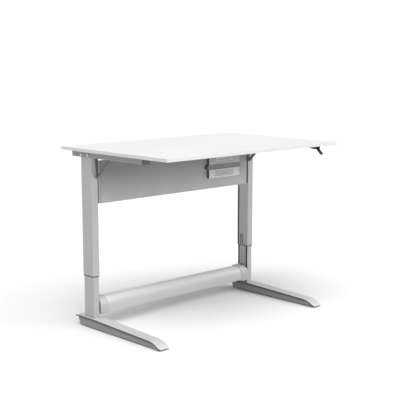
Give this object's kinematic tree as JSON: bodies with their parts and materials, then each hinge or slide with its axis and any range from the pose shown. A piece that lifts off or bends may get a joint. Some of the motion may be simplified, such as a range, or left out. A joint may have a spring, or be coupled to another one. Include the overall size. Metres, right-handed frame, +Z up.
{
  "type": "height adjustable standing desk",
  "caption": "Rectangular desk top on two telescoping T-legs driven by motors, with a modesty panel, a lower cross beam and a paddle switch.",
  "frame": {"origin": "on the floor, under the centre of the desk top", "axes": "+X across the desk to the user's right, +Y away from the user, +Z up"},
  "size_m": [1.2, 0.8, 0.91],
  "materials": {
    "silver_paint": "silver-grey powder coat, satin",
    "panel_paint": "light grey powder coat, satin",
    "foot_channel_paint": "mid grey powder coat, satin",
    "white_laminate": "white laminate on board, matt",
    "black_plastic": "black moulded, fine grain",
    "natural_nylon": "natural nylon",
    "zinc_steel": "bright zinc plate",
    "cast_aluminium": "die cast, silver paint",
    "light_grey_case": "light grey moulded, matt",
    "grey_case_rail": "mid grey, matt"
  },
  "bodies": {
    "base": {"left_foot": "foot_channel_paint", "left_foot_plate": "silver_paint", "left_front_glide": "black_plastic", "left_rear_glide": "black_plastic", "left_lower_tube": "silver_paint", "left_nut_post": "zinc_steel", "left_lift_nut": "natural_nylon", "left_front_column_bolt": "zinc_steel", "left_rear_column_bolt": "zinc_steel", "left_beam_end": "cast_aluminium", "left_beam_bolt": "zinc_steel", "right_foot": "foot_channel_paint", "right_foot_plate": "silver_paint", "right_front_glide": "black_plastic", "right_rear_glide": "black_plastic", "right_lower_tube": "silver_paint", "right_nut_post": "zinc_steel", "right_lift_nut": "natural_nylon", "right_front_column_bolt": "zinc_steel", "right_rear_column_bolt": "zinc_steel", "right_beam_end": "cast_aluminium", "right_beam_bolt": "zinc_steel", "cross_beam": "silver_paint"},
    "top": {"control_box_lower": "light_grey_case", "control_box_rail": "grey_case_rail", "control_box_upper": "light_grey_case", "left_drive_unit": "cast_aluminium", "left_gusset": "silver_paint", "left_head_block": "cast_aluminium", "left_panel_bracket": "panel_paint", "left_rail": "silver_paint", "left_rail_bolt_front": "zinc_steel", "left_rail_bolt_rear": "zinc_steel", "left_rail_cap_front": "black_plastic", "left_rail_cap_rear": "black_plastic", "left_top_screw_front": "zinc_steel", "left_top_screw_rear": "zinc_steel", "left_tube_collar": "black_plastic", "left_upper_tube": "silver_paint", "modesty_panel": "panel_paint", "power_inlet": "black_plastic", "right_drive_unit": "cast_aluminium", "right_gusset": "silver_paint", "right_head_block": "cast_aluminium", "right_panel_bracket": "panel_paint", "right_rail": "silver_paint", "right_rail_bolt_front": "zinc_steel", "right_rail_bolt_rear": "zinc_steel", "right_rail_cap_front": "black_plastic", "right_rail_cap_rear": "black_plastic", "right_top_screw_front": "zinc_steel", "right_top_screw_rear": "zinc_steel", "right_tube_collar": "black_plastic", "right_upper_tube": "silver_paint", "switch_housing": "black_plastic", "switch_pin": "zinc_steel", "tabletop": "white_laminate"},
    "left_spindle": {"left_spindle": "zinc_steel"},
    "right_spindle": {"right_spindle": "zinc_steel"},
    "paddle": {"switch_paddle": "black_plastic"}
  },
  "joints": [
    {"name": "lift", "type": "slide", "parent": "base", "child": "top", "axis": [0, 0, 1], "range_m": [-0.2, 0.27]},
    {"name": "left_spindle_turn", "type": "hinge", "parent": "top", "child": "left_spindle", "pos_m": [-0.5575, 0.2265, 0.7853], "axis": [0, 0, 1], "continuous": true},
    {"name": "right_spindle_turn", "type": "hinge", "parent": "top", "child": "right_spindle", "pos_m": [0.5575, 0.2265, 0.7853], "axis": [0, 0, 1], "continuous": true},
    {"name": "paddle_rock", "type": "hinge", "parent": "top", "child": "paddle", "pos_m": [0.479, -0.3655, 0.8832], "axis": [1, 0, 0], "range_deg": [-10, 10], "stiffness_Nm_per_rad": 1}
  ],
  "couplings": [
    {"joint": "left_spindle_turn", "follows": "lift", "rad_per_m": 785.4},
    {"joint": "right_spindle_turn", "follows": "lift", "rad_per_m": 785.4}
  ]
}
